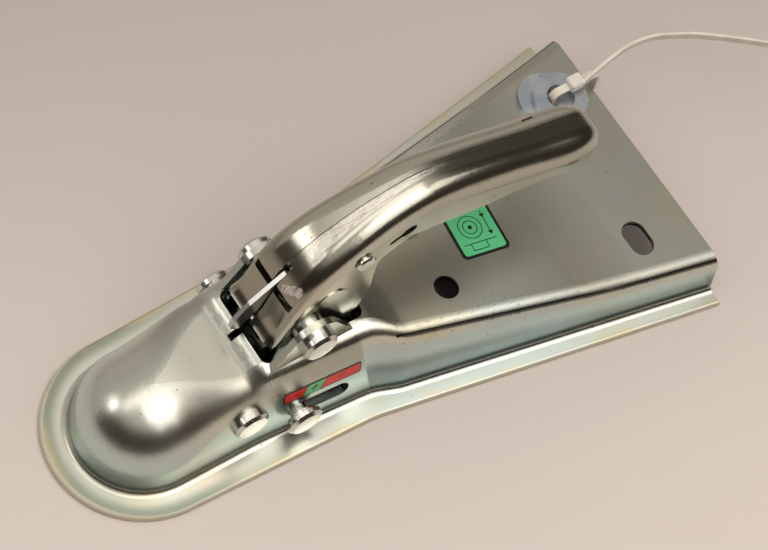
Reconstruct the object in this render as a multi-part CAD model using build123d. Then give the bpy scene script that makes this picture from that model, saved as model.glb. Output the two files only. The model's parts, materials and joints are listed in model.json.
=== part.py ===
from build123d import *
import os
from math import cos, radians, sin, tan

# Coupling head for a 50 mm towing ball on a V drawbar, in millimetres.
# The origin is the centre of the seated ball, +X runs back along the drawbar and +Z is up.
# Heights are measured up from the underside of the flange, which the head rests on.

# Towing ball and sheet
ball_dia = 50.0
ball_play = 0.3
ball_above_base = 12.0
sheet = 3.0
run_gap = 0.3
seat_gap = 0.05
pin_play = 0.08

# Body pressing: plan
nose_flange_radius = 41.7
kink_x = 86.7
kink_half = 44.8
rear_x = 248.0
rear_half = 73.8
flange_round = 1.2
flange_bend = 60.0
root_radius = 3.2
neck_draft = 8.0
tail_draft = 6.0

# Body pressing: where the top line changes, and its height there
ramp_x = 33.5
ramp_height = 44.6
lip_x = 42.0
lip_height = 49.6
neck_end_x = 86.0
neck_end_half = 34.0
flare_end_x = 104.0
tail_start_x = 98.0
tail_start_half = 37.6
tail_start_height = 45.6
pad_x = 198.0
pad_height = 28.6
pad_bend = 14.0
rear_base_half = 66.2
rear_height = 25.7
shoulder_radius = 11.0
neck_radius = 9.0
tail_radius = 7.0

# Window over the linkage and the ears that carry the handle
window_half = 18.5
window_end_x = 90.0
window_corner = 4.0
relief_x = 37.0
ear_radius = 11.5
ear_foot = 20.0

# Drawbar bolt holes
bolt_hole_dia = 11.0
front_hole_x = 130.0
front_hole_spacing = 42.8
rear_slot_x = 221.6
rear_slot_spacing = 75.6
rear_slot_length = 17.0

# Handle pivot
pivot_x = 63.0
pivot_height = 58.0
pivot_dia = 10.0
pivot_head_dia = 15.6
pivot_head = 5.0
pivot_ring_dia = 15.0
head_bevel = 1.4

# Front cross pin
guide_x = 32.0
guide_height = 25.0
guide_dia = 8.0
guide_head_dia = 16.0
guide_head = 4.0

# Locking jaw and its indicator bolt
jaw_travel = 20.0
jaw_lead = 5.0
jaw_half = 22.0
jaw_arm = 5.0
jaw_base = 1.5
jaw_front_x = 6.0
jaw_top = 20.5
jaw_arm_top = 25.0
jaw_step_x = 40.0
jaw_rear_x = 70.0
jaw_web = 6.0
indicator_x = 55.0
indicator_height = 16.0
indicator_dia = 8.0
indicator_head_dia = 16.0
indicator_head = 3.4
collar_dia = 12.6
collar = 1.6

# Closing spring
spring_seat_x = 113.0
spring_seat_base = 2.0
rod_dia = 8.0
rod_height = 14.0
rod_end = 2.0
rod_nut_dia = 13.0
rod_nut = 5.0
spring_wire = 2.6
spring_mean_dia = 15.0
spring_turns = 5
wire_sides = 8

# Handle pressing
handle_sheet = 2.5
handle_half = 16.0
handle_mid_half = 12.6
handle_end_half = 13.5
handle_travel = 60.0
nose_x = 44.0
nose_height = 58.0
handle_crest_x = 115.0
handle_crest_height = 113.5
handle_end_x = 209.0
handle_end_height = 79.0
handle_rise = [(0.0, 0.0), (0.13, 0.36), (0.25, 0.62), (0.48, 0.83), (0.75, 0.96), (1.0, 1.0)]
handle_fall = [(0.21, 0.12), (0.56, 0.45), (0.84, 0.7), (0.95, 0.83), (1.0, 1.0)]
end_close = [0.0, 0.0, 0.0, 0.3, 1.0]
nose_round = 4.0
back_round = 9.5
end_round = 4.5
end_narrow = 6.5
cheek_depth = 44.0
arm_depth = 28.0
end_depth = 12.0
arm_wall = 22.0
end_wall = 16.0
lower_line = [(0.35, arm_wall), (0.6, end_wall), (0.75, end_wall), (0.9, end_wall)]
cheek_run = 19.0
edge_round = 5.0
crank_dia = 8.0
crank_boss = 7.0
pivot_boss = 12.0
cheek_boss = 8.0
slit_end_x = 60.0
nose_slot_half = 12.5
nose_slot_width = 3.8
keyhole_x = 106.0
keyhole_height = 97.3
keyhole_length = 9.5
keyhole_dia = 5.6
keyhole_slit = 2.8
keyhole_turn = 14.0

# Pull links between crank and jaw
link_inner = 6.0
link_thick = 4.0
link_boss = 7.5
link_play = 0.55

# Safety catch
catch_thick = 2.0
catch_pin_x = 84.5
catch_pin_depth = 12.6
catch_pin_dia = 6.0
catch_pin_head_dia = 8.6
catch_pin_head = 1.4
catch_pin_stand = 2.4
catch_boss = 6.0
catch_round = 1.2
catch_hook = 8.5
catch_hook_rise = 14.0
catch_back_run = 15.0
catch_back_rise = 27.0
catch_dip = 6.0
trigger_length = 10.0
trigger_tilt = 12.0
trigger_half = 8.0
trigger_run = 29.0
trigger_drop = 19.5
catch_wire = 1.3
catch_coil_dia = 8.4
catch_turns = 3

# Labels
label_thick = 0.25
plate_label_x = 157.8
plate_label_y = -0.6
plate_label_length = 23.4
plate_label_width = 30.0
plate_label_turn = -6.0
label_corner = 2.2
side_label_x = 66.2
side_label_height = 27.6
side_label_length = 36.0
side_label_width = 7.4
side_label_corner = 0.8

# Spare washers and the nylon tie that holds them
washer_dia = 25.0
washer_hole = 12.6
washer_thick = 2.4
tie_width = 3.6
tie_thick = 1.3
tie_head_length = 7.0
tie_head_width = 6.2
tie_head_height = 4.8

# Worked out from the sizes above
ball_radius = ball_dia / 2 + ball_play
dome_radius = ball_radius + sheet
dome_flat = 0.5
neck_slope = tan(radians(neck_draft))
neck_half = dome_radius / cos(radians(neck_draft)) + dome_flat + ball_above_base * neck_slope
neck_flare = (neck_end_half - neck_half) / (neck_end_x - (ramp_x + lip_x) / 2)
dome_height = ball_above_base + dome_radius
window_x = lip_x
crank_swing = handle_travel / 2
crank_radius = jaw_travel / 2 / sin(radians(crank_swing))
crank_x = pivot_x - crank_radius * sin(radians(crank_swing))
crank_height = pivot_height - crank_radius * cos(radians(crank_swing))
ear_outer = window_half + sheet
ear_top_height = pivot_height + ear_radius
nose_run = handle_crest_x - nose_x
nose_rise = handle_crest_height - nose_height
end_run = handle_end_x - handle_crest_x
end_fall = handle_crest_height - handle_end_height


def up(height):
    return height - ball_above_base


def side(x, height, y=0.0):
    return Vector(x, y, up(height))


def across(x, height=0.0):
    return Plane(origin=(x, 0, up(height)), x_dir=(0, 1, 0), z_dir=(1, 0, 0))


def lengthwise(y):
    return Plane(origin=(0, y, up(0)), x_dir=(1, 0, 0), z_dir=(0, -1, 0))


def rounded_section(half_base, height, radius, draft, foot=0.0, root=0.0):
    # closed section with drafted walls and rounded top corners; a root turns the walls' feet into the flange
    slope = tan(radians(draft))
    foot_half = half_base - foot * slope
    top_half = half_base - height * slope
    corners = [(-foot_half, foot), (foot_half, foot), (top_half, height), (-top_half, height)]
    face = Sketch() + make_face(Polyline(*corners, close=True))
    if root:
        face += Pos(0, sheet / 2) * Rectangle(2 * (half_base + root + run_gap), sheet)
        feet = face.vertices().filter_by(lambda spot: abs(spot.Y - sheet) < seat_gap)
        face = fillet(feet.filter_by(lambda spot: abs(spot.X) < half_base), root)
    return fillet(face.vertices().group_by(Axis.Y)[-1], radius)


def round_bar(x, height, y_from, y_to, dia):
    bar = extrude(lengthwise(y_to) * Circle(dia / 2), y_to - y_from)
    return Pos(x, 0, 0) * Pos(0, 0, height) * bar


def slotted_bar(x_from, x_to, height, y_from, y_to, width):
    # a bar across the head, wide enough for a round pin to travel from x_from to x_to
    length = x_to - x_from
    outline = Pos((x_from + x_to) / 2, height) * SlotCenterToCenter(length, width)
    return extrude(lengthwise(y_to) * outline, y_to - y_from)


def side_plate(outline, y_from, y_to):
    return extrude(lengthwise(y_to) * outline, y_to - y_from)


def save(name, shape, color):
    shape.label = name
    shape.color = Color(color)
    export_step(shape, f"parts/{name}.step")


# Body pressing
def blend(start, finish, share):
    return start + share * (finish - start)


def ease(share):
    return share * share * (3 - 2 * share)


def tail_height(x):
    # two slopes that meet over the pad in a soft bend
    front_slope = (pad_height - tail_start_height) / (pad_x - tail_start_x)
    rear_slope = (rear_height - pad_height) / (rear_x - pad_x)
    past = x - (pad_x - pad_bend)
    if past <= 0:
        return pad_height + (x - pad_x) * front_slope
    if past >= 2 * pad_bend:
        return pad_height + (x - pad_x) * rear_slope
    bend = (rear_slope - front_slope) * past * past / (4 * pad_bend)
    return pad_height + (x - pad_x) * front_slope + bend


def neck_base(x):
    # base half width of the neck, whose walls part gently behind the ramp
    past = max(0, x - ramp_x)
    bend = lip_x - ramp_x
    if past <= bend:
        return neck_half + neck_flare * past * past / (2 * bend)
    return neck_half + neck_flare * (past - bend / 2)


def body_section(x):
    # base half width, height, corner radius and draft of the outside
    if x <= ramp_x:
        share = ease(x / ramp_x)
        height = blend(dome_height, ramp_height, share)
        return neck_half, height, blend(dome_radius, shoulder_radius, share), neck_draft
    if x <= neck_end_x:
        share = ease(min(1, (x - ramp_x) / (lip_x - ramp_x)))
        height = blend(ramp_height, lip_height, share)
        return neck_base(x), height, blend(shoulder_radius, neck_radius, share), neck_draft
    share = ease(min(1, (x - neck_end_x) / (flare_end_x - neck_end_x)))
    tail_half = blend(tail_start_half, rear_base_half, (x - tail_start_x) / (rear_x - tail_start_x))
    return (blend(neck_base(x), tail_half, share), blend(lip_height, tail_height(x), share),
            blend(neck_radius, tail_radius, share), blend(neck_draft, tail_draft, share))


def body_face(x, inset, foot, root):
    half, height, radius, draft = body_section(x)
    base = half - inset / cos(radians(draft))
    return across(x) * rounded_section(base, height - inset, radius - inset, draft, foot, root)


def even_steps(x_from, x_to, count):
    return [blend(x_from, x_to, index / count) for index in range(count + 1)]


def body_form(inset, foot=0.0, root=0.0):
    bend_from = pad_x - pad_bend
    bend_to = pad_x + pad_bend
    spans = [even_steps(0.0, ramp_x, 5), even_steps(ramp_x, lip_x, 4), [lip_x, neck_end_x],
             even_steps(neck_end_x, flare_end_x, 4), [flare_end_x, bend_from],
             even_steps(bend_from, bend_to, 4), [bend_to, rear_x]]
    nose = body_face(0.0, inset, foot, root)
    nose_half = nose & (Pos(0, jaw_travel * 2, 0) * Box(1, jaw_travel * 4, ball_dia * 4))
    form = revolve(nose_half, Axis.Z, 180)
    for span in spans:
        form += loft([body_face(x, inset, foot, root) for x in span], ruled=len(span) == 2)
    return form


def flange():
    # flat flange round the pressing, its upper edge rounded at the sides and the nose
    start = (0, nose_flange_radius)
    finish = (0, -nose_flange_radius)
    edges = Polyline(start, (kink_x, kink_half), (rear_x, rear_half), (rear_x, -rear_half),
                     (kink_x, -kink_half), finish)
    face = Sketch() + make_face(edges + ThreePointArc(finish, (-nose_flange_radius, 0), start))
    kinks = face.vertices().filter_by(lambda spot: abs(spot.X - kink_x) < 1)
    block = extrude(Pos(0, 0, up(0)) * fillet(kinks, flange_bend), sheet)
    rim = block.edges().group_by(Axis.Z)[-1].filter_by(lambda edge: (edge @ 0.5).X < rear_x - 1)
    return fillet(rim, flange_round)


def ear(y_from):
    boss = Pos(pivot_x, pivot_height) * Circle(ear_radius)
    foot = Pos(pivot_x, lip_height - sheet) * Rectangle(2 * ear_foot, sheet)
    return side_plate(make_hull(boss.edges() + foot.edges()), y_from, y_from + sheet)


def body_shell(outer, cavity):
    shell = outer + flange() - cavity
    window_length = window_end_x - window_x
    window = RectangleRounded(window_length, 2 * window_half, window_corner)
    window_cut = extrude(window, ear_top_height - pad_height)
    shell -= Pos((window_x + window_end_x) / 2, 0, up(pad_height)) * window_cut
    shell += ear(window_half) + ear(-window_half - sheet)
    reach = nose_flange_radius
    shell -= round_bar(pivot_x, pivot_height, -reach, reach, pivot_dia + 2 * seat_gap)
    shell -= round_bar(guide_x, guide_height, -reach, reach, guide_dia + 2 * seat_gap)
    shell -= slotted_bar(indicator_x, indicator_x + jaw_travel, indicator_height, -reach, reach,
                         indicator_dia + 2 * run_gap)
    for sign in (-1, 1):
        hole = extrude(Circle(bolt_hole_dia / 2), lip_height)
        slot = extrude(Rot(0, 0, 90) * SlotOverall(rear_slot_length, bolt_hole_dia), lip_height)
        shell -= Pos(front_hole_x, sign * front_hole_spacing / 2, up(sheet)) * hole
        shell -= Pos(rear_slot_x, sign * rear_slot_spacing / 2, up(sheet)) * slot
    relief = Box(lip_x - relief_x + sheet, catch_thick + 4 * run_gap, lip_height)
    return shell - Pos((lip_x + relief_x + sheet) / 2, 0, up(lip_height)) * relief


def front_liner(cavity_form):
    # crescent behind the nose wall that carries the ball below its widest part
    height = ball_above_base - jaw_base
    block = Box(ball_dia, 2 * ball_dia, height)
    place = Pos(-ball_dia / 2 - jaw_lead, 0, up(jaw_base) + height / 2)
    return (place * block & cavity_form) - Sphere(ball_radius)


def bevelled_head(x, height, y_from, y_to, dia, outer_end):
    cap = round_bar(x, height, y_from, y_to, dia)
    bevel = min(head_bevel, (y_to - y_from) / 2)
    return chamfer(cap.edges().sort_by(Axis.Y)[outer_end], bevel)


def headed_pin(x, height, dia, head_dia, reach, head):
    # cross pin with a bevelled head at both ends, each head starting at the given reach from the middle
    pin = round_bar(x, height, -reach, reach, dia)
    pin += bevelled_head(x, height, -reach - head, -reach, head_dia, 0)
    return pin + bevelled_head(x, height, reach, reach + head, head_dia, -1)


def wall_reach(x, height):
    # distance of the neck's outer wall from the middle plane
    return neck_base(x) - height * neck_slope


def guide_pin(outer_form):
    # headed on the near wall, flush with the far wall
    bar = round_bar(guide_x, guide_height, -nose_flange_radius, nose_flange_radius, guide_dia)
    tip = wall_reach(guide_x, guide_height) + guide_head
    head = bevelled_head(guide_x, guide_height, -tip, 0, guide_head_dia, 0)
    return (bar & outer_form) + (head - outer_form)


def catch_pin():
    # headed on the near cheek, flush in the far one
    pin = round_bar(catch_pin_x, catch_pin_height, -pin_reach, handle_mid_half, catch_pin_dia)
    return pin + bevelled_head(catch_pin_x, catch_pin_height, -pin_reach - catch_pin_head, -pin_reach,
                              catch_pin_head_dia, 0)


def seat_plate(cavity_form):
    slab = Pos(spring_seat_x + sheet / 2, 0, up(spring_seat_base) + lip_height / 2)
    plate = (slab * Box(sheet, 2 * rear_half, lip_height)) & cavity_form
    return plate - along_x(spring_seat_x - sheet, spring_seat_x + 2 * sheet, rod_dia + 2 * run_gap)


def along_x(x_from, x_to, dia):
    return extrude(across(x_from, rod_height) * Circle(dia / 2), x_to - x_from)


def locking_jaw():
    points = [(jaw_front_x, jaw_base), (jaw_front_x, jaw_top), (jaw_step_x, jaw_top),
              (jaw_step_x + jaw_web, jaw_arm_top), (jaw_rear_x, jaw_arm_top), (jaw_rear_x, jaw_base + sheet),
              (jaw_rear_x - jaw_web, jaw_base)]
    outline = make_face(Polyline(*points, close=True))
    jaw = side_plate(outline, -jaw_half, jaw_half)
    pocket_length = jaw_rear_x - jaw_web - jaw_step_x
    pocket = Box(pocket_length, 2 * (jaw_half - jaw_arm), 4 * jaw_arm_top)
    jaw -= Pos(jaw_step_x + pocket_length / 2, 0, 0) * pocket
    jaw -= Pos(-jaw_lead, 0, 0) * Sphere(ball_radius)
    jaw -= round_bar(indicator_x, indicator_height, -jaw_half, jaw_half, indicator_dia + 2 * seat_gap)
    return jaw - along_x(jaw_rear_x - jaw_web, jaw_rear_x, rod_dia + 2 * seat_gap)


def indicator_reach():
    # the collar face that runs along the wall, clear of it at the collar's lowest and furthest point
    furthest = indicator_x + jaw_travel + collar_dia / 2
    return wall_reach(furthest, indicator_height - collar_dia / 2) + run_gap


def indicator_collars():
    rings = Part()
    for y in (indicator_reach(), -indicator_reach() - collar):
        ring = round_bar(indicator_x, indicator_height, y, y + collar, collar_dia)
        rings += ring - round_bar(indicator_x, indicator_height, y, y + collar, indicator_dia + 2 * seat_gap)
    return rings


def pull_links():
    top = crank_height
    low = pivot_height - crank_radius
    slot_width = crank_dia + 2 * link_play
    slot = Pos(crank_x, (top + low) / 2) * Rot(0, 0, 90) * SlotCenterToCenter(top - low, slot_width)
    bosses = Pos(indicator_x, indicator_height) * Circle(link_boss)
    upper = Pos(crank_x, (top + low) / 2) * Circle(link_boss + (top - low) / 2)
    hole = Pos(indicator_x, indicator_height) * Circle(indicator_dia / 2 + seat_gap)
    outline = make_hull(bosses.edges() + upper.edges()) - slot - hole
    links = Part()
    for y in (link_inner, -link_inner - link_thick):
        links += side_plate(outline, y, y + link_thick)
    return links


def spring_coil(start, direction, length, wire, mean_dia, turns):
    # round wire wound on a helix; the wire's ends stay inside the given length
    pitch = (length - wire) / turns
    path = Helix(pitch, length - wire, mean_dia / 2)
    section = Plane(origin=path @ 0, z_dir=path % 0) * RegularPolygon(wire / 2, wire_sides)
    coil = Pos(0, 0, wire / 2) * sweep(section, path=path, is_frenet=True)
    return Plane(origin=start, z_dir=direction) * coil


# Handle
def back_line():
    # the handle's back in side view, from the nose over the crest to the end
    front = [(nose_x + run * nose_run, nose_height + rise * nose_rise) for run, rise in handle_rise]
    top = handle_crest_height
    rear = [(handle_crest_x + run * end_run, top - fall * end_fall) for run, fall in handle_fall]
    return front + rear


def back_height(x):
    spots = back_line()
    for (x_from, height_from), (x_to, height_to) in zip(spots, spots[1:]):
        if x <= x_to:
            return height_from + (x - x_from) / (x_to - x_from) * (height_to - height_from)


def handle_sections():
    # half width, corner radius and wall depth of the section at each spot of the back line
    narrowing = handle_half - handle_mid_half
    sections = []
    for run, rise in handle_rise:
        radius = nose_round + rise * (back_round - nose_round)
        depth = cheek_depth - run * run * (cheek_depth - arm_depth)
        sections.append((handle_half - ease(run) * narrowing, radius, depth))
    for (run, fall), close in zip(handle_fall, end_close):
        half = handle_mid_half + run * run * (handle_end_half - handle_mid_half) - close * end_narrow
        radius = back_round - close * (back_round - end_round)
        sections.append((half, radius, arm_depth - close * (arm_depth - end_depth)))
    return sections


def handle_form(inset, overrun=0.0):
    # sections that fan out round a point below the crest, then stand square to the arm
    fan = side(handle_crest_x - back_round, nose_height - pivot_boss)
    arm = Vector(end_run, 0, -end_fall).normalized()
    spots = [side(x, height) for x, height in back_line()]
    faces = []
    for index, (spot, (half, radius, depth)) in enumerate(zip(spots, handle_sections())):
        reach = (spot - fan).normalized()
        run = Vector(reach.Z, 0, -reach.X) if index < len(handle_rise) else arm
        rise = Vector(-run.Z, 0, run.X)
        foot = spot - rise * depth
        if index == 0:
            foot -= run * overrun
        if index == len(spots) - 1:
            foot -= run * inset
        plane = Plane(origin=foot, x_dir=(0, 1, 0), z_dir=run)
        faces.append(plane * rounded_section(half - inset, depth - inset, radius - inset, 0.0, -overrun))
    return loft(faces)


def below_back(x, depth):
    return (x, back_height(x) - depth)


def handle_lower_edge():
    # side view of what the handle keeps: everything above its lower edge
    low = pivot_height - cheek_depth
    top = handle_crest_height + arm_depth
    front = nose_x - arm_depth
    rear = handle_end_x + arm_depth
    cheek_x = pivot_x + cheek_run
    edge = [(cheek_x, low), (cheek_x, pivot_height - pivot_boss),
            (catch_pin_x + crank_boss, pivot_height + cheek_boss),
            (catch_pin_x + cheek_boss, catch_pin_height - cheek_boss),
            below_back(handle_crest_x - crank_boss, arm_wall)]
    for run, wall in lower_line:
        edge.append(below_back(handle_crest_x + run * end_run, wall))
    corners = [(rear, handle_end_height - end_wall / 2), (rear, top), (front, top), (front, low)]
    face = Sketch() + make_face(Polyline(*edge, *corners, close=True))
    inner = face.vertices().filter_by(lambda spot: cheek_x + 1 < spot.X < handle_end_x)
    return side_plate(fillet(inner, edge_round), -2 * handle_half, 2 * handle_half)


def handle_shell():
    shell = handle_form(0) - handle_form(handle_sheet, 2.0)
    shell &= handle_lower_edge()
    bosses = [Pos(pivot_x, pivot_height) * Circle(pivot_boss),
              Pos(crank_x, crank_height) * Circle(crank_boss),
              Pos(pivot_x + cheek_boss, pivot_height + 2 * cheek_boss) * Circle(cheek_boss)]
    lobe = make_hull(bosses[0].edges() + bosses[1].edges() + bosses[2].edges())
    for y in (handle_half - handle_sheet, -handle_half):
        shell += side_plate(lobe, y, y + handle_sheet)
    reach = 2 * handle_half
    shell -= round_bar(pivot_x, pivot_height, -reach, reach, pivot_dia + 2 * pin_play)
    shell -= round_bar(crank_x, crank_height, -reach, reach, crank_dia + 2 * seat_gap)
    shell -= round_bar(catch_pin_x, catch_pin_height, -reach, reach, catch_pin_dia + 2 * seat_gap)
    slit_width = catch_thick + 4 * run_gap
    slit = Box(slit_end_x - nose_x + 20, slit_width, 3 * cheek_depth)
    shell -= Pos((slit_end_x + nose_x - 20) / 2, 0, up(pivot_height)) * slit
    spots = [side(x, height) for x, height in back_line()]
    slot_plane = Plane(origin=spots[1], x_dir=(0, 1, 0), z_dir=(spots[2] - spots[0]).normalized())
    shell -= slot_plane * Box(2 * nose_slot_half, 4 * handle_sheet, nose_slot_width)
    keyhole = Pos(-keyhole_length / 2, 0) * SlotOverall(keyhole_length, keyhole_slit)
    keyhole += SlotOverall(1.3 * keyhole_dia, keyhole_dia)
    place = Pos(keyhole_x, keyhole_height) * Rot(0, 0, keyhole_turn)
    return shell - side_plate(place * keyhole, -reach, reach)


def pivot_spacers():
    rings = Part()
    width = window_half - run_gap - handle_half
    for y in (handle_half, -handle_half - width):
        ring = round_bar(pivot_x, pivot_height, y, y + width, pivot_ring_dia)
        rings += ring - round_bar(pivot_x, pivot_height, y, y + width, pivot_dia + 2 * pin_play)
    return rings


# Safety catch
catch_pin_height = back_height(catch_pin_x) - catch_pin_depth
trigger_x = catch_pin_x + trigger_run
trigger_height = catch_pin_height - trigger_drop


def safety_catch():
    # blade with a hooked nose over the window's lip, a raised back and a trigger under the handle
    tip_x = nose_x - catch_hook
    back_x = nose_x + catch_back_run
    back_top = nose_height + catch_back_rise
    neck_x = catch_pin_x - 2 * catch_boss
    arm = trigger_length / 2
    nose = [(tip_x, nose_height), (tip_x + 1, nose_height + catch_dip),
            (nose_x - 1, nose_height + catch_hook_rise)]
    back = [(back_x, back_top), (back_x + 2, back_top - catch_dip),
            (neck_x, catch_pin_height - catch_boss - 2), (catch_pin_x, catch_pin_height + catch_boss)]
    trigger = [(trigger_x - arm - 1, trigger_height + 2 * arm + 4),
               (trigger_x + arm - 1, trigger_height + arm + 1),
               (trigger_x + arm - 1, trigger_height), (trigger_x - arm - 3, trigger_height + 3)]
    belly = [(catch_pin_x, catch_pin_height - catch_boss), (neck_x, catch_pin_height - 3 * catch_boss),
             (back_x - 1, nose_height + catch_hook_rise), (nose_x + 2, nose_height + 4),
             (tip_x + catch_hook / 2, nose_height - catch_dip / 2)]
    face = Sketch() + make_face(Polyline(*nose, *back, *trigger, *belly, close=True))
    blade = side_plate(fillet(face.vertices(), catch_round), -catch_thick / 2, catch_thick / 2)
    pad = Box(trigger_length, 2 * trigger_half, handle_sheet)
    blade += Pos(trigger_x - 1, 0, up(trigger_height + handle_sheet / 2)) * Rot(0, trigger_tilt, 0) * pad
    bore = catch_pin_dia + 2 * pin_play
    return blade - round_bar(catch_pin_x, catch_pin_height, -catch_thick, catch_thick, bore)


# Labels, washers and tie
def instruction_label():
    fall = Vector(pad_x - tail_start_x, 0, pad_height - tail_start_height).normalized()
    spot = side(plate_label_x, tail_height(plate_label_x), plate_label_y)
    plane = Plane(origin=spot, x_dir=fall, z_dir=(-fall.Z, 0, fall.X))
    face = RectangleRounded(plate_label_length, plate_label_width, label_corner)
    return extrude(plane * Rot(0, 0, plate_label_turn) * face, label_thick)


def indicator_label():
    spot = side(side_label_x, side_label_height, -wall_reach(side_label_x, side_label_height))
    run = Vector(1, -neck_flare, 0)
    rise = Vector(0, neck_slope, 1)
    plane = Plane(origin=spot, x_dir=run, z_dir=run.cross(rise))
    face = RectangleRounded(side_label_length, side_label_width, side_label_corner)
    return extrude(plane * face, label_thick)


def pad_plane(x, y, rise=0.0):
    fall = Vector(rear_x - pad_x, 0, rear_height - pad_height).normalized()
    height = pad_height + (x - pad_x) * fall.Z / fall.X
    plane = Plane(origin=side(x, height, y), x_dir=fall, z_dir=(-fall.Z, 0, fall.X))
    return plane.offset(rise)


far_slot_y = rear_slot_spacing / 2
washer_spots = [(rear_slot_x + 3.4, far_slot_y + 0.2), (rear_slot_x + 8.2, far_slot_y - 3.6)]
tie_x = rear_slot_x + 4.4
tie_y = far_slot_y - 2.2
tie_low = 20.6
tie_top = 34.6
tie_rear_x = rear_x + 2.4
tie_bend = 4.0
tie_head_x = rear_slot_x + 16.0
tail_route = [(240, 33.4), (254, 36.6), (270, 39.6), (284, 37.4), (300, 29.6), (316, 18.4), (336, 3.0)]
tail_bends = [60, 45, 40, 60, 90]


def mounting_washers():
    washers = Part()
    ring = extrude(Circle(washer_dia / 2) - Circle(washer_hole / 2), washer_thick)
    for index, (x, y) in enumerate(washer_spots):
        washers += pad_plane(x, y, index * (washer_thick + seat_gap)) * ring
    return washers


def cable_tie():
    loop = Pos((tie_x + tie_rear_x) / 2, (tie_low + tie_top) / 2)
    outside = RectangleRounded(tie_rear_x - tie_x + tie_thick, tie_top - tie_low + tie_thick, tie_bend)
    inside = offset(outside, -tie_thick)
    tie = side_plate(loop * (outside - inside), tie_y - tie_width / 2, tie_y + tie_width / 2)
    head = Box(tie_head_length, tie_head_width, tie_head_height)
    head = chamfer(head.edges(), tie_thick / 2)
    tie += Pos(tie_head_x, tie_y, up(tie_top + tie_head_height / 4)) * head
    path = FilletPolyline(*tail_route, radius=tail_bends)
    strip = make_face(path.offset_2d(tie_thick / 2, side=Side.BOTH))
    return tie + Pos(0, 0, up(tie_top)) * extrude(strip, tie_width)


os.makedirs("parts", exist_ok=True)
outer = body_form(0, root=root_radius)
cavity = body_form(sheet, -1.0)
liner_room = body_form(sheet + seat_gap, -1.0)
bolt_reach = indicator_reach() + collar
pin_reach = handle_mid_half + catch_pin_stand

save("body_shell", body_shell(outer, cavity), 0xB9BDB2)
save("front_liner", front_liner(liner_room), 0x8F9490)
save("front_cross_pin", guide_pin(outer), 0xD5D8D6)
pivot_bolt = headed_pin(pivot_x, pivot_height, pivot_dia, pivot_head_dia, ear_outer, pivot_head)
save("pivot_bolt", pivot_bolt, 0xD5D8D6)
save("spring_seat", seat_plate(liner_room), 0x9CA19B)
save("instruction_label", instruction_label(), 0x55C27E)
save("indicator_label", indicator_label(), 0xC8403A)
save("mounting_washers", mounting_washers(), 0x9FB4C6)
save("cable_tie", cable_tie(), 0xECE9E0)

save("locking_jaw", locking_jaw(), 0x7E837F)
indicator_bolt = headed_pin(indicator_x, indicator_height, indicator_dia, indicator_head_dia,
                            bolt_reach, indicator_head)
save("indicator_bolt", indicator_bolt, 0xD5D8D6)
save("indicator_collars", indicator_collars(), 0xBFC4C2)
save("pull_links", pull_links(), 0x8C918D)
nut_x = spring_seat_x + sheet + 2 * run_gap
rod = along_x(jaw_rear_x - jaw_web, nut_x + rod_nut + rod_end, rod_dia)
save("spring_rod", rod, 0xAEB3B0)
nut = extrude(across(nut_x, rod_height) * RegularPolygon(rod_nut_dia / 2, 6), rod_nut)
save("rod_nut", nut - along_x(nut_x, nut_x + rod_nut, rod_dia + 2 * seat_gap), 0xC9CCCA)
coil_length = spring_seat_x - jaw_rear_x - 2 * seat_gap
coil_start = side(jaw_rear_x + seat_gap, rod_height)
closing_spring = spring_coil(coil_start, (1, 0, 0), coil_length, spring_wire, spring_mean_dia, spring_turns)
save("closing_spring", closing_spring, 0x6E7275)

save("handle_shell", handle_shell(), 0xA9A592)
save("crank_pin", round_bar(crank_x, crank_height, -handle_half, handle_half, crank_dia), 0xC9CCCA)
save("pivot_spacers", pivot_spacers(), 0xBFC4C2)
save("catch_pin", catch_pin(), 0xC9CCCA)
wound = catch_turns * (catch_wire + run_gap)
wound_from = side(catch_pin_x, catch_pin_height, catch_thick / 2 + 2 * run_gap)
catch_spring = spring_coil(wound_from, (0, 1, 0), wound, catch_wire, catch_coil_dia, catch_turns)
save("catch_spring", catch_spring, 0x6E7275)
save("safety_catch", safety_catch(), 0xB5B8B2)
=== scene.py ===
import bpy
import bmesh
import json
import math
from mathutils import Matrix, Quaternion, Vector


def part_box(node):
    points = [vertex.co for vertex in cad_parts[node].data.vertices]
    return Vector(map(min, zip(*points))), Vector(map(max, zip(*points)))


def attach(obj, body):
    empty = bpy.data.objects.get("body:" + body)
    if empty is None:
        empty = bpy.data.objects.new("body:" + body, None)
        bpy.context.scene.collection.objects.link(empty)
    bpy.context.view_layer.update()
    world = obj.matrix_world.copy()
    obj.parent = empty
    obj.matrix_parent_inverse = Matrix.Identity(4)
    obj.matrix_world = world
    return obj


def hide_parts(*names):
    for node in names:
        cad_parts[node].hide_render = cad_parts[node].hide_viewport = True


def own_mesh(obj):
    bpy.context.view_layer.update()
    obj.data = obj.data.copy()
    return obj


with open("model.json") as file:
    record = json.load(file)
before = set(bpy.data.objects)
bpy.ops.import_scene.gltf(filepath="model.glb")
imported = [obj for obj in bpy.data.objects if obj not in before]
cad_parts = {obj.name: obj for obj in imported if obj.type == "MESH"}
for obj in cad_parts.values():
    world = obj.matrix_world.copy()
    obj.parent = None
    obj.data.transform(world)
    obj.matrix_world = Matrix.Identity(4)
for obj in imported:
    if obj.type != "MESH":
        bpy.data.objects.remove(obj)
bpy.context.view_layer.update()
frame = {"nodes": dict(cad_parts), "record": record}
nodes = frame["nodes"]
print("frame loaded,", len(nodes), "nodes")

mm = 0.001
baseZ = -12.0                                   # the floor, below the ball's centre


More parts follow.
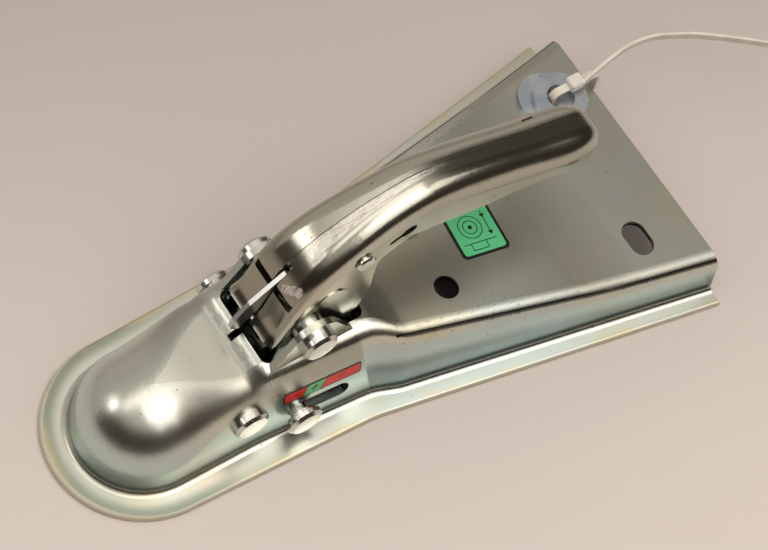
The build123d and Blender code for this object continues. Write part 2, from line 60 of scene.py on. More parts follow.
# shader sockets as plain expressions
class Socket:
    def __init__(self, paint, out):
        self.paint = paint
        self.out = out

    def calc(self, operation, first, second=None):
        values = [value for value in (first, second) if value is not None]
        return self.paint.node("Math", {"operation": operation}, dict(enumerate(values)))

    def __add__(self, other):
        return self.calc("ADD", self, other)

    def __radd__(self, other):
        return self.calc("ADD", other, self)

    def __sub__(self, other):
        return self.calc("SUBTRACT", self, other)

    def __rsub__(self, other):
        return self.calc("SUBTRACT", other, self)

    def __mul__(self, other):
        return self.calc("MULTIPLY", self, other)

    def __rmul__(self, other):
        return self.calc("MULTIPLY", other, self)

    def __truediv__(self, other):
        return self.calc("DIVIDE", self, other)

    def __rtruediv__(self, other):
        return self.calc("DIVIDE", other, self)

    def __abs__(self):
        return self.calc("ABSOLUTE", self)

    def __lt__(self, other):
        return self.calc("LESS_THAN", self, other)

    def __gt__(self, other):
        return self.calc("GREATER_THAN", self, other)

    def smaller(self, other):
        return self.calc("MINIMUM", self, other)

    def larger(self, other):
        return self.calc("MAXIMUM", self, other)

    def root(self):
        return self.calc("SQRT", self)

    def fade(self, low, high):                  # 0 below low, 1 above high
        settings = {"interpolation_type": "SMOOTHSTEP"}
        return self.paint.node("MapRange", settings, {"Value": self, "From Min": low, "From Max": high})

    def fall(self, low, high):                  # 1 below low, 0 above high
        return 1.0 - self.fade(low, high)

    def band(self, rise, fall):                 # 1 between two soft edges
        return self.fade(*rise) * self.fall(*fall)


class Paint:
    def __init__(self, owner):
        owner.use_nodes = True
        self.owner = owner
        self.tree = owner.node_tree
        self.shader = self.tree.nodes.get("Principled BSDF") or self.tree.nodes["Background"]

    def node(self, kind, settings=None, inputs=None, output=0):
        made = self.tree.nodes.new("ShaderNode" + kind)
        for key, value in (settings or {}).items():
            setattr(made, key, value)
        for key, value in (inputs or {}).items():
            self.feed(made.inputs[key], value)
        return Socket(self, made.outputs[output])

    def feed(self, socket, value):
        if isinstance(value, Socket):
            self.tree.links.new(value.out, socket)
        else:
            socket.default_value = value

    def where(self, location=(0, 0, 0), turn=(0, 0, 0), scale=(1, 1, 1)):
        spot = self.node("TexCoord", output="Object")
        values = {"Vector": spot, "Location": location, "Rotation": turn, "Scale": scale}
        return self.node("Mapping", {"vector_type": "TEXTURE"}, values)

    def axes(self, spot):
        return [self.node("SeparateXYZ", {}, {0: spot}, index) for index in range(3)]

    def places(self):                           # x, y and z in millimetres
        return [axis / mm for axis in self.axes(self.where())]

    def noise(self, scale=1.0, detail=3.0, rough=0.55, shift=(0, 0, 0), turn=0.0, stretch=(1, 1, 1),
              edges=None):                      # edges make patches of it
        spot = self.where(shift, (0, 0, turn), stretch)
        values = {"Vector": spot, "Scale": scale, "Detail": detail, "Roughness": rough}
        made = self.node("TexNoise", {}, values)
        return made.fade(*edges) if edges else made

    def mix(self, share, first, second):        # 6, 7 and 2 are the colour sockets
        return self.node("Mix", {"data_type": "RGBA"}, {0: share, 6: first, 7: second}, 2)

    def bump(self, height, strength, distance):
        return self.node("Bump", {}, {"Height": height, "Strength": strength, "Distance": distance})

    def set(self, **values):
        for key, value in values.items():
            self.feed(self.shader.inputs[key.replace("_", " ")], value)
        return self.owner


def newPaint(name):
    return Paint(bpy.data.materials.new(name))


def color(red, green, blue):                    # screen colour, 0-255
    return tuple(((level / 255 + 0.055) / 1.055) ** 2.4 for level in (red, green, blue)) + (1.0,)


def length(u, v):
    return (u * u + v * v).root()


def disc(u, v, centre, radius):
    return length(u - centre[0], v - centre[1]) < radius


def ring(u, v, centre, radius, width):
    return abs(length(u - centre[0], v - centre[1]) - radius) < width / 2


def block(u, v, centre, halfU, halfV):
    return (abs(u - centre[0]) < halfU) * (abs(v - centre[1]) < halfV)


def stroke(u, v, start, end, width):            # a round-ended line
    runU, runV = end[0] - start[0], end[1] - start[1]
    share = ((u - start[0]) * runU + (v - start[1]) * runV) / (runU * runU + runV * runV)
    share = share.larger(0.0).smaller(1.0)
    return length(u - start[0] - share * runU, v - start[1] - share * runV) < width / 2


def union(masks):
    total = masks[0]
    for mask in masks[1:]:
        total = total.larger(mask)
    return total


def layered(masks, shares, start=0.0):          # masks added up by their shares
    total = start
    for name, share in shares.items():
        total = masks[name] * share + total
    return total


# clouds, tints and specks that every zinc coat has
coatLook = {
    "cloud": {"scale": 14.0, "detail": 4.0}, "cloudEdges": (0.48, 0.72), "cloudShare": 0.5,
    "tints": {"blue": {"scale": 11.0, "shift": (0.3, 0.1, 0.2), "edges": (0.5, 0.7)},
              "rose": {"scale": 17.0, "shift": (0.1, 0.5, 0.4), "edges": (0.55, 0.72)},
              "stain": {"scale": 330.0, "detail": 2.0, "shift": (0.7, 0.4, 0.0), "edges": (0.72, 0.78)}},
    "tintShares": {"blue": 0.5, "rose": 0.5, "stain": 0.6}}


def zincCoat(paint, look):
    cloud = paint.noise(**coatLook["cloud"])
    yellowed = cloud.fade(*coatLook["cloudEdges"]) * coatLook["cloudShare"]
    base = paint.mix(yellowed, look["base"], look["yellow"])
    for tone, patches in coatLook["tints"].items():
        base = paint.mix(paint.noise(**patches) * coatLook["tintShares"][tone], base, look[tone])
    return cloud, base


# zinc on the pressing, lengths in millimetres
sheetLook = {
    "base": color(209, 214, 203), "yellow": color(212, 199, 160), "blue": color(182, 203, 208),
    "rose": color(212, 195, 184), "stain": color(104, 92, 70), "inside": color(46, 44, 40),
    "dull": color(150, 150, 140), "shadeSlate": color(100, 111, 112), "pale": color(192, 212, 212),
    "cool": color(192, 216, 216), "rimTone": color(204, 200, 180), "flangeShadeTone": color(150, 160, 146),
    "flangeGold": color(206, 194, 140),
    # the pressing's own lines
    "noseRadius": 41.7, "kink": (86.7, 44.8), "rear": (248.0, 73.8), "sheet": 1.6,
    "plateTop": [(98.0, 33.6, 0.17), (198.0, 16.6, 0.058)],     # start, height there and fall
    "wallFoot": (98.0, 37.6, 0.191), "draft": 0.105,            # start, half width there and flare
    "shoulder": (98.0, 31.0, 0.18),
    "creaseFoot": 88.5, "creaseLean": 0.17, "creaseSide": 26.0,
    "creaseLine": ((90.0, -9.0), (84.0, 26.0), 1.2),            # foot, top and width
    # noise in the coat
    "tint": {"scale": 30.0, "shift": (0.2, 0.6, 0.3)}, "grain": {"scale": 1300.0},
    "swell": {"scale": 26.0, "detail": 2.0},
    "grit": {"scale": 520.0, "rough": 0.7, "shift": (0.5, 0.2, 0.7), "edges": (0.6, 0.68)},
    "scratch": {"detail": 2.0, "stretch": (0.05, 0.0012, 0.05), "edges": (0.68, 0.76)},
    "scratchWays": [{"turn": 0.3, "shift": (0.2, 0.1, 0.0)}, {"turn": -0.5, "shift": (0.4, 0.3, 0.1)}],
    # soft edges of each zone
    "scratchAbove": (8.0, 14.0), "side": 24.0, "behind": (0.0, 0.8),
    "rampAlong": ((2.0, 20.0), (36.0, 41.0)), "rampAbove": (20.0, 28.0),
    "gritAside": (1.0, 9.0), "gritAlong": ((84.0, 100.0), (170.0, 230.0)), "gritAbove": (4.0, 10.0),
    "wallAbove": (-8.0, -6.0), "wallTop": (-9.0, -5.0),
    "bandFoot": -8.0, "bandHeight": 0.48, "bandEdge": (-5.0, 5.0), "bandShading": (0.6, 0.4),
    "plateBehind": (0.0, 30.0), "plateEdge": (-2.5, -0.5), "plateRear": (150.0, 205.0),
    "flangeEdge": (-8.8, -7.8), "outerEdge": (2.0, 7.5), "outerAlong": (0.0, 60.0), "outerLess": 0.8,
    "goldEdge": (0.5, 4.0), "goldPatches": (0.42, 0.6), "rimEdge": (0.4, 1.0),
    "neckAlong": (20.0, 50.0), "neckAbove": (4.0, 12.0), "noseAlong": (30.0, 60.0),
    "coolAbove": ((-8.0, -5.0), (8.0, 26.0)), "footAbove": ((-8.0, -6.5), (-4.0, 5.0)),
    # tints laid over each other: zone, share and tone; the neck's side walls, the low bands, the flange's
    # outer part and the inner faces are painted shade
    "tints": [("ramp", 0.5, "dull"), ("plateRear", 0.6, "dull"), ("neckWall", 0.55, "dull"),
              ("lowNeck", 0.6, "cool"), ("neckFoot", 0.45, "shadeSlate"), ("wall", 0.8, "pale"),
              ("band", 1.0, "shadeSlate"), ("outer", 1.0, "flangeShadeTone"), ("gold", 0.7, "flangeGold"),
              ("rim", 1.0, "rimTone"), ("grit", 0.7, "stain"), ("inside", 1.0, "inside")],
    "rough": 0.19,
    "rougher": {"cloud": 0.06, "grain": 0.05, "scratch": 0.03, "ramp": 0.1, "rim": 0.25, "inside": 0.2,
                "plate": 0.09, "flange": 0.06, "nose": 0.04},
    "raised": {"swell": 0.6, "grain": 0.07, "crease": -0.2, "grit": -0.05}, "bump": (0.25, 0.001),
    "rimBare": 0.7}


def plateTop(x):                                # the plate's height, which falls in two slopes
    return union([high - (x - start) * fall for start, high, fall in sheetLook["plateTop"]])


def underSheet(x, y, z):                        # the inner faces of the tail, which get painted shade
    sheet = sheetLook["sheet"]
    start, half, flare = sheetLook["wallFoot"]
    wall = half + (x - start) * flare - (z - baseZ) * sheetLook["draft"]
    return (z < plateTop(x) - sheet) * (abs(y) < wall - sheet) * (x > start)


def inFromRim(x, y):                            # distance from the flange's outer edge
    kinkX, kinkHalf = sheetLook["kink"]
    rearX, rearHalf = sheetLook["rear"]
    neck = sheetLook["noseRadius"] + x * ((kinkHalf - sheetLook["noseRadius"]) / kinkX)
    tail = kinkHalf + (x - kinkX) * ((rearHalf - kinkHalf) / (rearX - kinkX))
    return neck.larger(tail) - length(x.smaller(0.0), y)


def sheetZones(paint, x, y, z):
    look = sheetLook
    tint = paint.noise(**look["tint"])
    top = plateTop(x)
    inward = inFromRim(x, y)
    behind = x + z * look["creaseLean"] - look["creaseFoot"]    # distance behind the crease
    tail = behind.fade(*look["behind"])
    neck = 1.0 - tail
    side = abs(y) > look["side"]
    shoulderX, shoulderHalf, flare = look["shoulder"]
    besideShoulder = abs(abs(y) - shoulderHalf - (x - shoulderX) * flare)
    plate = behind.fade(*look["plateBehind"]) * (z - top).fade(*look["plateEdge"])
    wall = tail * z.fade(*look["wallAbove"]) * (z - top).fall(*look["wallTop"]) * side
    leastShade, moreShade = look["bandShading"]      # painted shade: a dark band low on the wall, in place of the dark reflection near the root
    overBand = z - look["bandFoot"] - (top - look["bandFoot"]) * look["bandHeight"]
    band = overBand.fall(*look["bandEdge"]) * (leastShade + tint * moreShade)
    flange = z.fall(*look["flangeEdge"])
    # painted shade: the flat flange darkens away from its root, as if it curved down
    outer = inward.fall(*look["outerEdge"]) * (1.0 - x.fade(*look["outerAlong"]) * look["outerLess"])
    scratch = union([paint.noise(**look["scratch"], **way) for way in look["scratchWays"]])
    grit = paint.noise(**look["grit"]) * besideShoulder.fall(*look["gritAside"])
    return {
        "grain": paint.noise(**look["grain"]), "swell": paint.noise(**look["swell"]),
        "scratch": scratch * z.fade(*look["scratchAbove"]),
        "ramp": x.band(*look["rampAlong"]) * z.fade(*look["rampAbove"]),    # in front of the window
        "nose": x.fall(*look["noseAlong"]),
        # painted shade on the neck's side walls
        "neckWall": neck * x.fade(*look["neckAlong"]) * z.fade(*look["neckAbove"]) * side,
        "lowNeck": neck * z.band(*look["coolAbove"]),
        # painted shade: a dark band low on the neck and dome, near the root
        "neckFoot": neck * z.band(*look["footAbove"]),
        "crease": stroke(x, z, *look["creaseLine"]) * (abs(y) > look["creaseSide"]),
        "plate": plate, "plateRear": plate * x.fade(*look["plateRear"]),
        "wall": wall, "band": wall * band,
        "grit": grit * x.band(*look["gritAlong"]) * z.fade(*look["gritAbove"]),
        "flange": flange, "outer": flange * outer,
        "gold": flange * inward.fall(*look["goldEdge"]) * tint.fade(*look["goldPatches"]),
        "rim": flange * inward.fall(*look["rimEdge"]),
        # painted shade on the faces under the plate
        "inside": underSheet(x, y, z)}


def sheetZinc():
    paint = newPaint("passivated_zinc")
    cloud, base = zincCoat(paint, sheetLook)
    zones = sheetZones(paint, *paint.places())
    zones["cloud"] = cloud
    for zone, share, tone in sheetLook["tints"]:
        base = paint.mix(zones[zone] * share, base, sheetLook[tone])
    rough = layered(zones, sheetLook["rougher"], sheetLook["rough"])
    height = layered(zones, sheetLook["raised"])
    return paint.set(Base_Color=base, Roughness=rough, Metallic=1.0 - zones["rim"] * sheetLook["rimBare"],
                     Normal=paint.bump(height, *sheetLook["bump"]))


# zinc on the handle, rubbed through along its crest
handleLook = {
    "base": color(197, 198, 184), "yellow": color(202, 189, 156), "blue": color(184, 196, 194),
    "rose": color(198, 182, 168), "stain": color(60, 50, 38), "wornAndGlint": color(244, 242, 236),
    "nose": color(150, 146, 132), "inside": color(70, 67, 60),
    # the channel's own lines: back edge as start and slope, half widths and corners from front to rear
    "back": [(44.0, 40.0, 2.174), (53.2, 66.0, 1.684), (61.8, 80.4, 0.709), (78.1, 92.0, 0.381),
             (97.3, 99.3, 0.124), (115.0, 101.5, -0.208), (134.7, 97.4, -0.34)],
    "narrowing": (44.0, 110.0), "half": (16.0, 12.6), "round": (4.0, 9.5), "sheet": 2.5, "end": 194.0,
    # noise in the wear
    "streak": {"detail": 4.0, "rough": 0.7, "stretch": (0.02, 0.0025, 0.02)},
    "scrape": {"rough": 0.7, "stretch": (0.009, 0.0009, 0.009)}, "fray": {"scale": 420.0, "rough": 0.7},
    "nicks": {"detail": 2.0, "shift": (0.2, 0.6, 0.1), "stretch": (0.004, 0.002, 0.004),
              "edges": (0.72, 0.76)},
    "swell": {"scale": 30.0, "detail": 2.0},
    # the rubbed strip beside the seam
    "wornAlong": ((64.0, 72.0), (112.0, 134.0)), "wornAbove": (66.0, 70.0), "wornStart": 69.0,
    "wornSide": -7.2, "wornSlope": 0.08, "wornWaver": 3.0, "wornEdge": (0.0, 0.8), "wornEnd": (0.6, 0.9),
    "wornBy": {"streak": 0.5, "scrape": 0.6, "fray": 0.4}, "wornPatches": (0.6, 0.82),
    # scrapes beside the slot, with a painted highlight along its front edges: start, end and width
    "scrapesAndGlints": [((54.8, -4.6), (57.6, -11.0), 2.4), ((66.0, -6.2), (69.0, -5.4), 2.6)],
    "scrapeAbove": (60.0, 64.0), "scrapePatches": (0.36, 0.54), "ragged": 5.0,
    # the drawn seam, a dark dash on the arm, a darker nose plate, and painted shade on the arm's side walls
    "seamY": 1.0, "seamHalf": 0.2, "seamAlong": ((60.0, 62.0), (200.0, 206.0)),
    "seamGaps": {"detail": 2.0, "stretch": (0.012, 1, 1), "edges": (0.28, 0.36)},
    "dash": ((176.0, 8.4), (181.5, 8.9), 1.1),
    "noseAlong": (56.0, 68.0), "noseAbove": (44.0, 48.0), "noseHalf": 14.5, "noseShare": 0.8,
    "armAlong": (95.0, 120.0), "armAside": (9.5, 12.5), "armShare": 0.45,
    "wornShare": 0.9, "seamShare": 0.8, "nickShare": 0.6, "wornBare": 0.3,
    "rough": 0.17, "rougher": {"cloud": 0.06, "wornAndGlint": 0.14, "frayed": 0.2, "dash": 0.3},
    "raised": {"swell": 0.6, "seam": -0.4, "nicks": -0.2, "frayed": 0.25}, "bump": (0.25, 0.001)}


def underHandle(x, y, z):                       # the inner faces of the handle's channel, which get painted shade
    depths = [((x - startX) * slope + startZ - z) / math.hypot(1.0, slope)
              for startX, startZ, slope in handleLook["back"]]
    below = depths[0]
    for depth in depths[1:]:
        below = below.smaller(depth)
    rear = x.fade(*handleLook["narrowing"])
    wide, narrow = handleLook["half"]
    small, large = handleLook["round"]
    edge = rear * (narrow - wide) + wide - abs(y)
    corner = rear * (large - small) + small
    depth = corner - length((corner - edge).larger(0.0), (corner - below).larger(0.0))
    return (depth > handleLook["sheet"] / 2) * (x < handleLook["end"])


def handleWear(paint, x, y, z):
    look = handleLook
    marks = {name: paint.noise(**look[name]) for name in ("streak", "scrape", "fray", "nicks", "swell")}
    lower = (x - look["wornStart"]) * look["wornSlope"] + look["wornSide"]
    lower = lower + marks["streak"] * look["wornWaver"]
    crest = x.band(*look["wornAlong"]) * (y - lower).fade(*look["wornEdge"]) * y.fall(*look["wornEnd"])
    crest = crest * z.fade(*look["wornAbove"]) * layered(marks, look["wornBy"]).fade(*look["wornPatches"])
    slip = y + (marks["fray"] - 0.5) * look["ragged"]           # the noise lies about 0.5
    # painted highlight along the slot's front edges, mixed with scrapes
    besideSlot = union([stroke(x, slip, *line) for line in look["scrapesAndGlints"]]) * z.fade(*look["scrapeAbove"])
    besideSlot = besideSlot * marks["scrape"].fade(*look["scrapePatches"])
    seam = (abs(y - look["seamY"]) < look["seamHalf"]) * x.band(*look["seamAlong"])
    # rubbed crest together with the slot's painted edge highlight
    marks["wornAndGlint"] = crest.larger(besideSlot)
    marks["frayed"] = marks["wornAndGlint"] * marks["fray"]
    marks["seam"] = seam * paint.noise(**look["seamGaps"])
    marks["dash"] = stroke(x, y, *look["dash"])
    return marks


def handleZinc():
    paint = newPaint("rubbed_zinc")
    look = handleLook
    cloud, base = zincCoat(paint, look)
    x, y, z = paint.places()
    marks = handleWear(paint, x, y, z)
    marks["cloud"] = cloud
    nosePlate = x.fall(*look["noseAlong"]) * z.fade(*look["noseAbove"]) * (abs(y) < look["noseHalf"])
    armWall = x.fade(*look["armAlong"]) * abs(y).fade(*look["armAside"])
    dark = union([marks["seam"] * look["seamShare"], marks["dash"], marks["nicks"] * look["nickShare"]])
    # a darker nose plate, and painted shade on the arm's side walls
    base = paint.mix((nosePlate * look["noseShare"]).larger(armWall * look["armShare"]), base, look["nose"])
    base = paint.mix(marks["wornAndGlint"] * look["wornShare"], base, look["wornAndGlint"])
    base = paint.mix(dark, base, look["stain"])
    # painted shade in the handle's channel
    base = paint.mix(underHandle(x, y, z), base, look["inside"])
    rough = layered(marks, look["rougher"], look["rough"])
    height = layered(marks, look["raised"])
    return paint.set(Base_Color=base, Roughness=rough, Metallic=1.0 - marks["wornAndGlint"] * look["wornBare"],
                     Normal=paint.bump(height, *look["bump"]))


# the catch's blade, bright along its cut edge, with a round dimple near the nose
catchLook = {"base": color(176, 180, 170), "edge": color(236, 238, 236), "half": 0.96, "edgeSoft": 0.06,
             "dimple": ((48.0, 53.0), 1.6, 0.7), "dimpleShare": 0.7, "swell": {"scale": 60.0},
             "rough": 0.26, "rougher": {"cloud": 0.1}, "raised": {"swell": 0.3, "dimple": 0.3},
             "bump": (0.2, 0.001)}


def catchZinc():
    paint = newPaint("catch_blade")
    look = catchLook
    cloud, base = zincCoat(paint, dict(sheetLook, base=look["base"]))
    x, y, z = paint.places()
    cutEdge = abs(y).fall(look["half"] - look["edgeSoft"], look["half"])
    marks = {"cloud": cloud, "swell": paint.noise(**look["swell"]), "dimple": ring(x, z, *look["dimple"])}
    base = paint.mix(cutEdge.larger(marks["dimple"] * look["dimpleShare"]), base, look["edge"])
    return paint.set(Base_Color=base, Roughness=layered(marks, look["rougher"], look["rough"]), Metallic=1.0,
                     Normal=paint.bump(layered(marks, look["raised"]), *look["bump"]))


# pins, washers and the inner works
metalLook = {"cloud": {"scale": 90.0, "detail": 4.0}, "cloudEdges": (0.35, 0.7),
             "grain": {"scale": 1500.0, "detail": 2.0},
             "pits": {"scale": 420.0, "shift": (0.3, 0.2, 0.5), "edges": (0.66, 0.74)}, "pitShare": 0.5,
             "rougher": {"cloud": 0.1, "pits": 0.2}, "raised": {"cloud": 0.6, "grain": 0.1, "pits": -0.3},
             "bump": (0.2, 0.0006)}


def plainMetal(name, bright, dull, rough):
    paint = newPaint(name)
    look = metalLook
    marks = {mark: paint.noise(**look[mark]) for mark in ("cloud", "grain", "pits")}
    base = paint.mix(marks["cloud"].fade(*look["cloudEdges"]), bright, dull)
    base = paint.mix(marks["pits"] * look["pitShare"], base, sheetLook["stain"])
    return paint.set(Base_Color=base, Roughness=layered(marks, look["rougher"], rough), Metallic=1.0,
                     Normal=paint.bump(layered(marks, look["raised"]), *look["bump"]))


nylonLook = {"pale": color(236, 232, 222), "deep": color(222, 216, 202), "cloud": {"scale": 120.0},
             "cloudEdges": (0.3, 0.7), "rough": 0.32, "rougher": 0.1, "bump": (0.1, 0.0004)}


def nylonTie():
    paint = newPaint("natural_nylon")
    look = nylonLook
    cloud = paint.noise(**look["cloud"])
    base = paint.mix(cloud.fade(*look["cloudEdges"]), look["pale"], look["deep"])
    return paint.set(Base_Color=base, Roughness=look["rough"] + cloud * look["rougher"],
                     Normal=paint.bump(cloud, *look["bump"]))


# printed labels, drawn in millimetres on the label's own plane
def labelPlane(paint, look):
    turn = Matrix.Identity(3)
    for axis, angle in look["turns"]:
        turn = turn @ Matrix.Rotation(math.radians(angle), 3, axis)
    return paint.axes(paint.where(Vector(look["place"]) * mm, turn.to_euler(), (mm, mm, mm)))[:2]


plateLabel = {
    "place": (157.8, -0.6, 23.436), "turns": [("Y", 9.648), ("Z", -6.0)], "half": (11.7, 15.0), "corner": 3.0,
    "border": 1.3, "green": color(104, 224, 156), "faded": color(84, 200, 132), "ink": color(16, 22, 18),
    "line": 0.4, "eye": (-1.5, -1.0), "rings": (5.4, 3.2), "dot": 1.0,
    "lines": [((-8.4, -8.6), (7.6, -8.6)), ((-5.2, -8.6), (-5.2, -12.0)), ((2.4, -8.6), (2.4, -12.0)),
              ((-5.2, -12.0), (2.4, -12.0)), ((6.6, -6.2), (6.6, 4.8)), ((4.2, 6.4), (8.6, 6.4))],
    "wedges": [(6.6, -6.9), (6.6, 1.6)], "wedgeSlope": 0.7, "wedgeHeight": 2.0,
    "wear": {"scale": 150.0}, "wearShare": 0.2, "rough": 0.36, "rougher": 0.12}


def plateFoil():
    paint = newPaint("plate_foil")
    look = plateLabel
    u, v = labelPlane(paint, look)
    halfU, halfV = look["half"]
    overU = (abs(u) - (halfU - look["corner"])).larger(0.0)
    overV = (abs(v) - (halfV - look["corner"])).larger(0.0)
    border = abs(u).larger(abs(v) - (halfV - halfU)) > halfU - look["border"]
    border = border.larger(length(overU, overV) > look["corner"] - look["border"])
    rings = [ring(u, v, look["eye"], radius, look["line"]) for radius in look["rings"]]
    lines = [stroke(u, v, start, end, look["line"]) for start, end in look["lines"]]
    slope, high = look["wedgeSlope"], look["wedgeHeight"]
    wedges = [(abs(u - tipU) < (v - tipV) * slope) * (v < tipV + high) * (v > tipV)
              for tipU, tipV in look["wedges"]]
    ink = union([border, disc(u, v, look["eye"], look["dot"])] + rings + lines + wedges)
    wear = paint.noise(**look["wear"])
    green = paint.mix(wear * look["wearShare"], look["green"], look["faded"])
    base = paint.mix(ink, green, look["ink"])
    return paint.set(Base_Color=base, Roughness=look["rough"] + wear * look["rougher"])


# signs are bars: middle, half width and half height
sideLabel = {
    "place": (66.2, -28.793, 15.6), "turns": [("Z", -3.84), ("X", 82.0)], "half": (18.0, 3.7), "border": 0.55,
    "slant": 0.45, "fields": (-8.0, 0.4), "parting": 0.22,
    "red": color(230, 38, 30), "faded": color(150, 40, 34), "green": color(92, 214, 136),
    "ink": color(20, 14, 12),
    "signs": [(-3.8, 1.9, 0.35), (-3.8, 0.45, 1.7), (-12.4, 1.7, 0.4), (8.6, 1.7, 0.4)],
    "wear": {"scale": 200.0}, "wearEdges": (0.5, 0.7), "wearShare": 0.2, "rough": 0.34, "rougher": 0.12}


def sideFoil():
    paint = newPaint("side_foil")
    look = sideLabel
    u, v = labelPlane(paint, look)
    lean = u - v * look["slant"]
    halfU, halfV = look["half"]
    first, second = look["fields"]
    border = (abs(v) > halfV - look["border"]).larger(abs(u) > halfU - look["border"])
    partings = [abs(lean - edge) < look["parting"] for edge in look["fields"]]
    signs = [block(lean, v, (middle, 0.0), wide, high) for middle, wide, high in look["signs"]]
    wear = paint.noise(**look["wear"])
    base = paint.mix((lean > first) * (lean < second), look["red"], look["green"])
    base = paint.mix(wear.fade(*look["wearEdges"]) * look["wearShare"], base, look["faded"])
    base = paint.mix(union([border] + partings + signs), base, look["ink"])
    return paint.set(Base_Color=base, Roughness=look["rough"] + wear * look["rougher"])


finishes = {
    "zinc_sheet": sheetZinc(),
    "handle_zinc": handleZinc(),
    "bright_zinc": plainMetal("bright_zinc", color(226, 228, 224), color(204, 204, 196), 0.17),
    "blue_zinc": plainMetal("blue_zinc", color(206, 214, 220), color(176, 190, 204), 0.22),
    "dark_steel": plainMetal("oiled_steel", color(120, 120, 116), color(84, 82, 78), 0.38),
    "jaw_steel": plainMetal("machined_steel", color(130, 130, 124), color(96, 95, 90), 0.42),
    "plate_label": plateFoil(),
    "side_label": sideFoil(),
    "nylon": nylonTie(),
}
ownFinish = {"safety_catch": catchZinc()}
for entry in frame["record"]["subparts"]:
    slots = nodes[entry["node"]].data.materials
    slots.clear()
    slots.append(ownFinish.get(entry["node"]) or finishes[entry["material_slot"]])
print("finishes set")


def place(name, data):
    made = bpy.data.objects.new(name, data)
    bpy.context.scene.collection.objects.link(made)
    return made


# the closing spring, wound as a coil and hung on the jaw's body
springLook = {"wire": 2.6, "coil": 15.0, "turns": 5, "steps": 36, "sides": 12, "travel": 20.0}


def closingSpring():
    low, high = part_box("closing_spring")
    wire, coil = springLook["wire"] * mm, springLook["coil"] * mm
    restLength = high.x - low.x
    middle = (low + high) / 2
    start = Vector((low.x + wire / 2, middle.y, middle.z))
    steps = springLook["turns"] * springLook["steps"]
    shape = bmesh.new()
    section = Matrix.Translation(start + Vector((0, 0, coil / 2))) @ Matrix.Rotation(math.pi / 2, 4, "X")
    bmesh.ops.create_circle(shape, segments=springLook["sides"], radius=wire / 2, matrix=section)
    bmesh.ops.spin(shape, geom=shape.verts[:] + shape.edges[:], cent=start, axis=(1, 0, 0),
                   dvec=((restLength - wire) / steps, 0, 0),
                   angle=math.tau * springLook["turns"], steps=steps)
    bmesh.ops.holes_fill(shape, edges=[edge for edge in shape.edges if edge.is_boundary])
    bmesh.ops.recalc_face_normals(shape, faces=shape.faces)
    wound = bpy.data.meshes.new("wound_spring")
    shape.to_mesh(wound)
    shape.free()
    wound.polygons.foreach_set("use_smooth", [True] * len(wound.polygons))
    wound.materials.append(finishes["dark_steel"])
    spring = place("wound_spring", wound)
    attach(spring, "jaw")
    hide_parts("closing_spring")
    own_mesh(spring)


closingSpring()
print("closing spring wound")


# pale paper floor with painted shade that darkens it towards the back
floorLook = {"size": 8.0, "color": color(229, 222, 216), "shade": color(194, 187, 182), "across": 0.45,
             "edges": (-0.1, 0.34), "mottle": {"scale": 40.0}, "mottleShare": 0.06, "rough": 0.75}


def paperFloor():
    shape = bmesh.new()
    bmesh.ops.create_grid(shape, x_segments=1, y_segments=1, size=floorLook["size"] / 2)
    bmesh.ops.translate(shape, verts=shape.verts, vec=(0, 0, baseZ * mm))
    mesh = bpy.data.meshes.new("floor")
    shape.to_mesh(mesh)
    shape.free()
    paint = newPaint("floor_paper")
    east, north = paint.axes(paint.where())[:2]
    deeper = (north + east * floorLook["across"]).fade(*floorLook["edges"])
    deeper = deeper + paint.noise(**floorLook["mottle"]) * floorLook["mottleShare"]
    tone = paint.mix(deeper, floorLook["color"], floorLook["shade"])
    mesh.materials.append(paint.set(Base_Color=tone, Roughness=floorLook["rough"]))
    floor = place("floor", mesh)


# the room that the metal mirrors: dark on the near side, pale above and at the back
roomLook = {"upper": (0.5, 0.455, 0.41, 1.0), "far": (0.48, 0.42, 0.38, 1.0),
            "near": (0.03, 0.022, 0.015, 1.0), "farEdges": (0.3, 0.56), "upperEdges": (0.55, 0.8)}


def studioRoom():
    room = Paint(bpy.data.worlds.new("studio"))
    north, height = room.axes(room.node("TexCoord", output="Generated"))[1:]
    walls = room.mix(north.fade(*roomLook["farEdges"]), roomLook["near"], roomLook["far"])
    tone = room.mix(height.fade(*roomLook["upperEdges"]), walls, roomLook["upper"])
    bpy.context.scene.world = room.set(Color=tone)


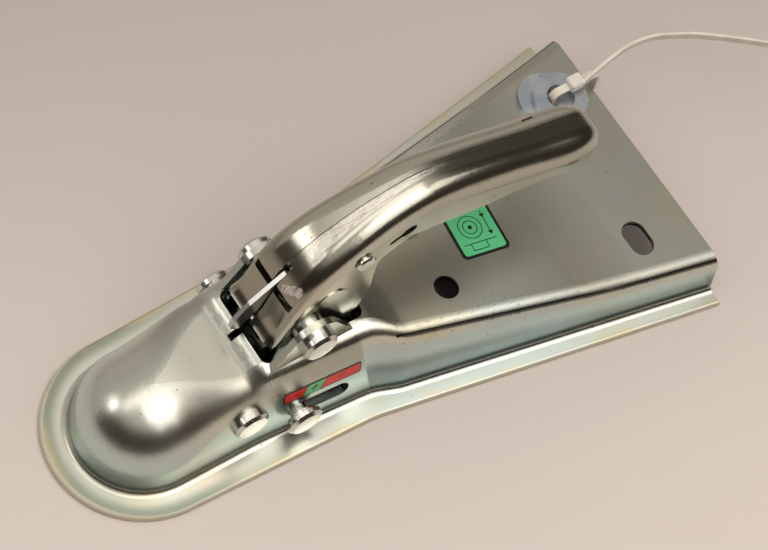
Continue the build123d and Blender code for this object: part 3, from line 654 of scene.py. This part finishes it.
# lamps in metres and watts
lampLook = {
    "overhead_panel": {"place": (0.305, -0.2, 1.3), "aim": (0.305, -0.2, 0.0), "size": (1.01, 1.24),
                       "power": 5.1, "tone": (1.0, 0.9, 0.85)},
    "back_panel": {"place": (-0.535, 0.21, 1.3), "aim": (-0.535, 0.21, 0.0), "size": (0.67, 0.42),
                   "power": 1.15, "tone": (1.0, 0.9, 0.85)},
    "near_panel": {"place": (0.24, -0.48, 0.88), "aim": (0.1, 0.0, 0.0), "size": (0.8, 0.8),
                   "power": 2.8, "tone": (1.0, 0.91, 0.86)},
    "right_panel": {"place": (1.15, -0.5, 1.1), "aim": (0.15, 0.0, 0.0), "size": (0.7, 0.5),
                    "power": 1.37, "tone": (1.0, 0.91, 0.86)},
    "left_panel": {"place": (-0.68, 0.42, 0.66), "aim": (0.0, 0.0, 0.0), "size": (0.3, 0.26),
                   "power": 0.8, "tone": (1.0, 0.93, 0.88)},
}


def facing(look):
    return (Vector(look["aim"]) - Vector(look["place"])).to_track_quat("-Z", "Y")


def softLamp(name, look):
    lamp = bpy.data.lights.new(name, "AREA")
    lamp.shape = "RECTANGLE"
    lamp.size, lamp.size_y = look["size"]
    lamp.energy = look["power"]
    lamp.color = look["tone"]
    holder = place(name, lamp)
    holder.location = look["place"]
    holder.rotation_euler = facing(look).to_euler()


paperFloor()
studioRoom()
for name, look in lampLook.items():
    softLamp(name, look)
print("floor and light set")


# the photograph's viewpoint, in millimetres and degrees
cameraLook = {"place": (-280.3, -332.8, 969.9), "aim": (121.9, 5.7, 0.0), "roll": 18.79, "lens": 122.27,
              "film": 36.0, "nearest": 10.0}
lens = bpy.data.cameras.new("photo_lens")
lens.sensor_fit = "HORIZONTAL"
lens.sensor_width = cameraLook["film"]
lens.lens = cameraLook["lens"]
lens.clip_start = cameraLook["nearest"] * mm
camera = place("photo_camera", lens)
camera.location = Vector(cameraLook["place"]) * mm
camera.rotation_mode = "QUATERNION"
camera.rotation_quaternion = facing(cameraLook) @ Quaternion((0, 0, 1), math.radians(cameraLook["roll"]))
bpy.context.scene.camera = camera
bpy.context.scene.view_settings.view_transform = "Standard"
print("camera set")
